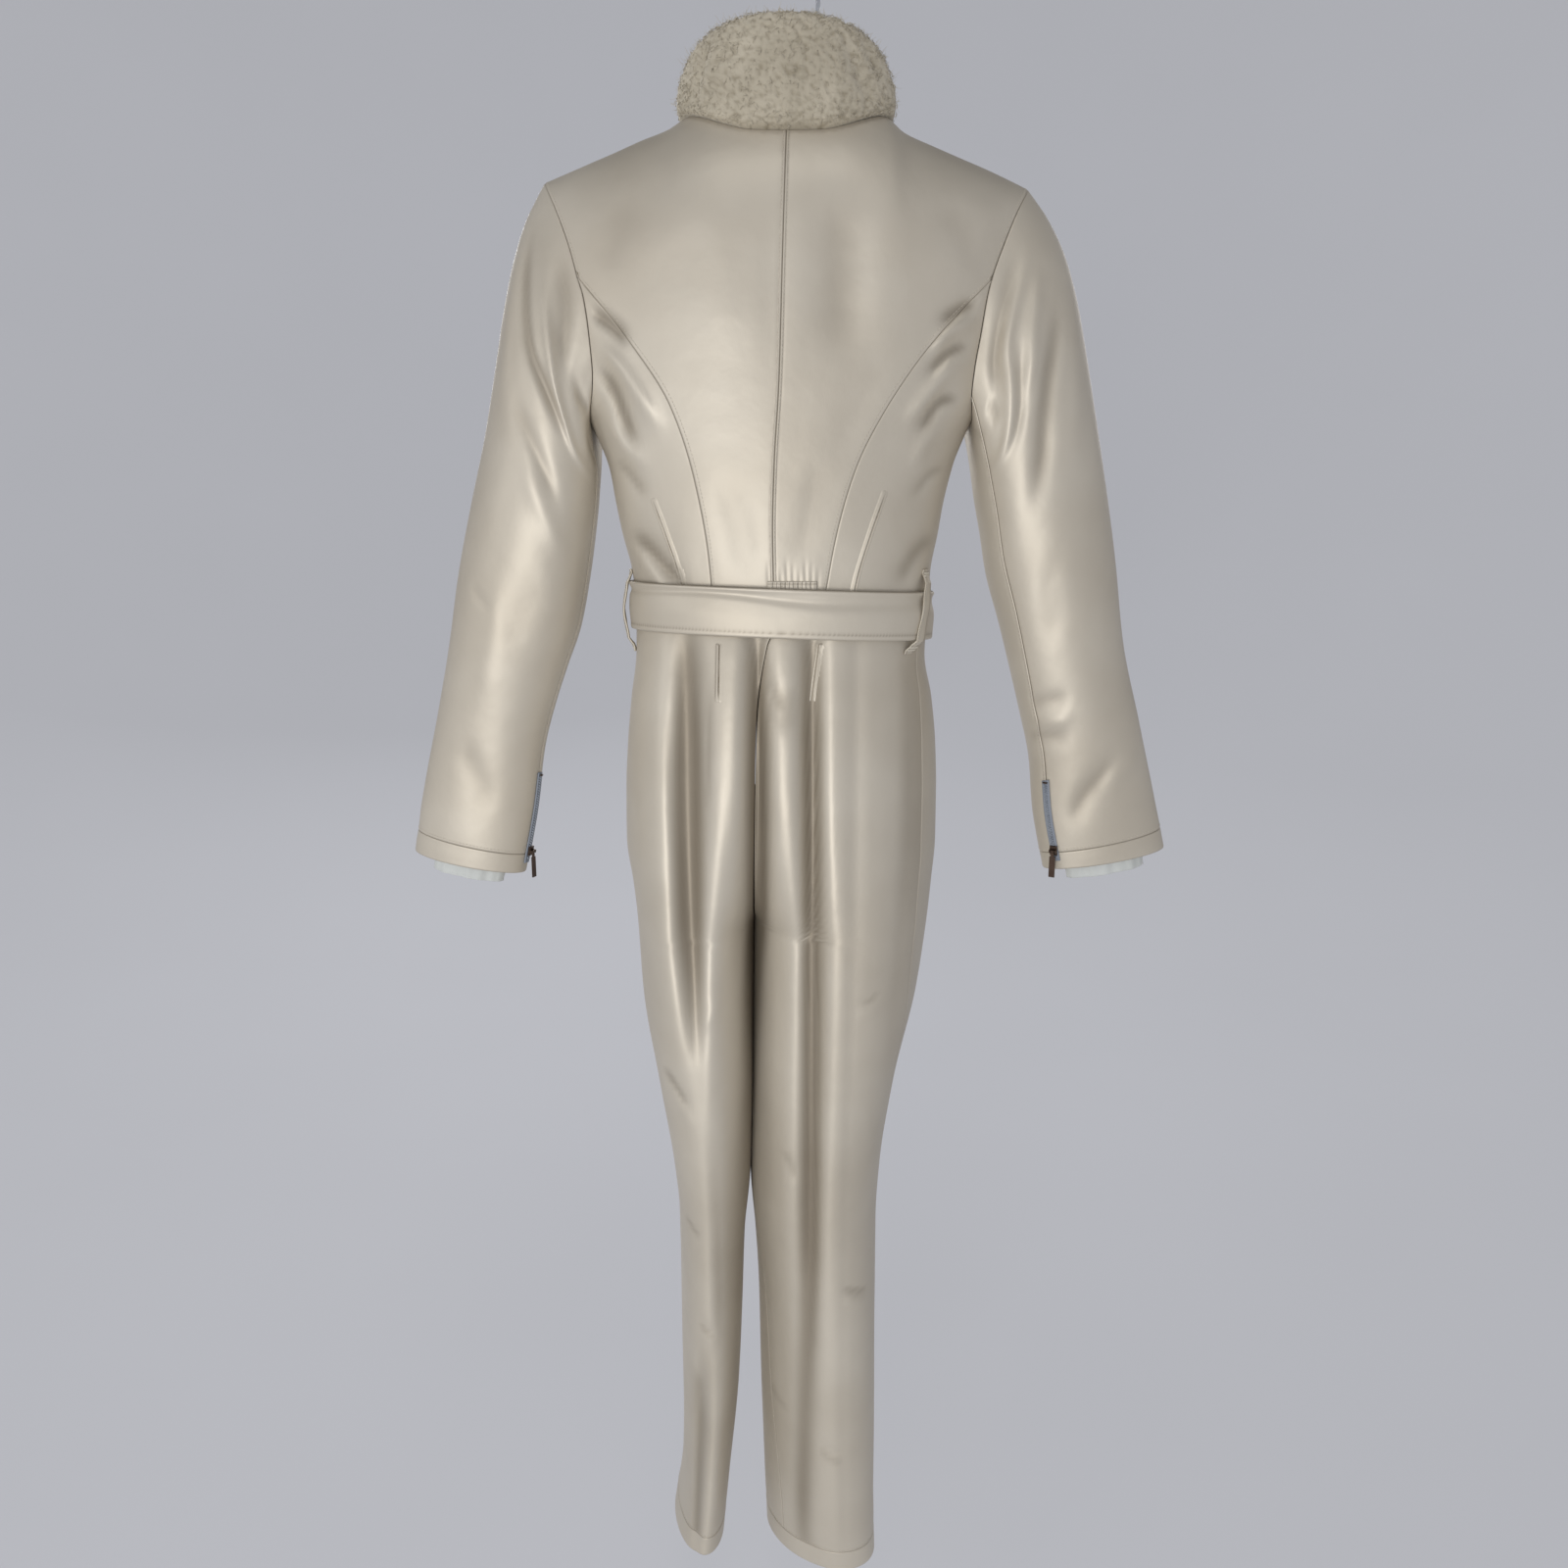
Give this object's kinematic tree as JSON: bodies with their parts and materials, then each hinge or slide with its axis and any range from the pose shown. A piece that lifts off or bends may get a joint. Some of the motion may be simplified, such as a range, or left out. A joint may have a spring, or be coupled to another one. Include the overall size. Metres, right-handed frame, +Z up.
{
  "type": "snowsuit on a hanger",
  "caption": "One-piece ski suit in cream satin cloth with a pile collar, belt, zip cuffs and inner cuffs, hanging on a wire-hook hanger.",
  "frame": {"origin": "inside of the hook's top, where a rod bears", "axes": "+Z up, -Y out of the suit's back, +X to the right seen from behind"},
  "size_m": [0.7165, 0.1957, 1.5079],
  "materials": {
    "suit_cloth": "ivory satin softshell with a soft sheen",
    "collar_pile": "curly sherpa pile",
    "cuff_knit": "smooth pale grey stretch jersey",
    "zip_tape": "woven tape with moulded teeth",
    "dark_metal": "dark bronzed die cast metal",
    "hook_wire": "bright bent wire",
    "hanger_plastic": "plain pale moulded plastic"
  },
  "bodies": {
    "garment": {"back_left": "suit_cloth", "back_right": "suit_cloth", "side_back_left": "suit_cloth", "side_back_right": "suit_cloth", "front_left": "suit_cloth", "front_right": "suit_cloth", "sleeve_left": "suit_cloth", "sleeve_right": "suit_cloth", "sleeve_hem_left": "suit_cloth", "sleeve_hem_right": "suit_cloth", "back_leg_left": "suit_cloth", "back_leg_right": "suit_cloth", "front_leg_left": "suit_cloth", "front_leg_right": "suit_cloth", "leg_hem_left": "suit_cloth", "leg_hem_right": "suit_cloth", "belt": "suit_cloth", "belt_tail": "suit_cloth", "belt_loop_left": "suit_cloth", "belt_loop_right": "suit_cloth", "waist_tab": "suit_cloth", "collar": "collar_pile", "storm_cuff_left": "cuff_knit", "storm_cuff_right": "cuff_knit", "front_zip": "zip_tape", "sleeve_left_zip": "zip_tape", "sleeve_right_zip": "zip_tape", "front_slider": "dark_metal", "sleeve_left_slider": "dark_metal", "sleeve_right_slider": "dark_metal", "belt_buckle": "dark_metal", "hanger_hook": "hook_wire", "hanger_bar": "hanger_plastic"},
    "front_tab": {"front_pull": "dark_metal"},
    "left_cuff_tab": {"sleeve_left_pull": "dark_metal"},
    "right_cuff_tab": {"sleeve_right_pull": "dark_metal"}
  },
  "joints": [
    {"name": "front_tab_swing", "type": "hinge", "parent": "garment", "child": "front_tab", "pos_m": [0, 0.06537, -0.092], "axis": [1, 0, 0], "range_deg": [0, 135]},
    {"name": "left_cuff_tab_swing", "type": "hinge", "parent": "garment", "child": "left_cuff_tab", "pos_m": [-0.24106, -0.00118, -0.74481], "axis": [-0.347, -0.9379, 0], "range_deg": [0, 110]},
    {"name": "right_cuff_tab_swing", "type": "hinge", "parent": "garment", "child": "right_cuff_tab", "pos_m": [0.25056, -0.01525, -0.74097], "axis": [-0.8512, 0.5249, 0], "range_deg": [0, 110]}
  ]
}
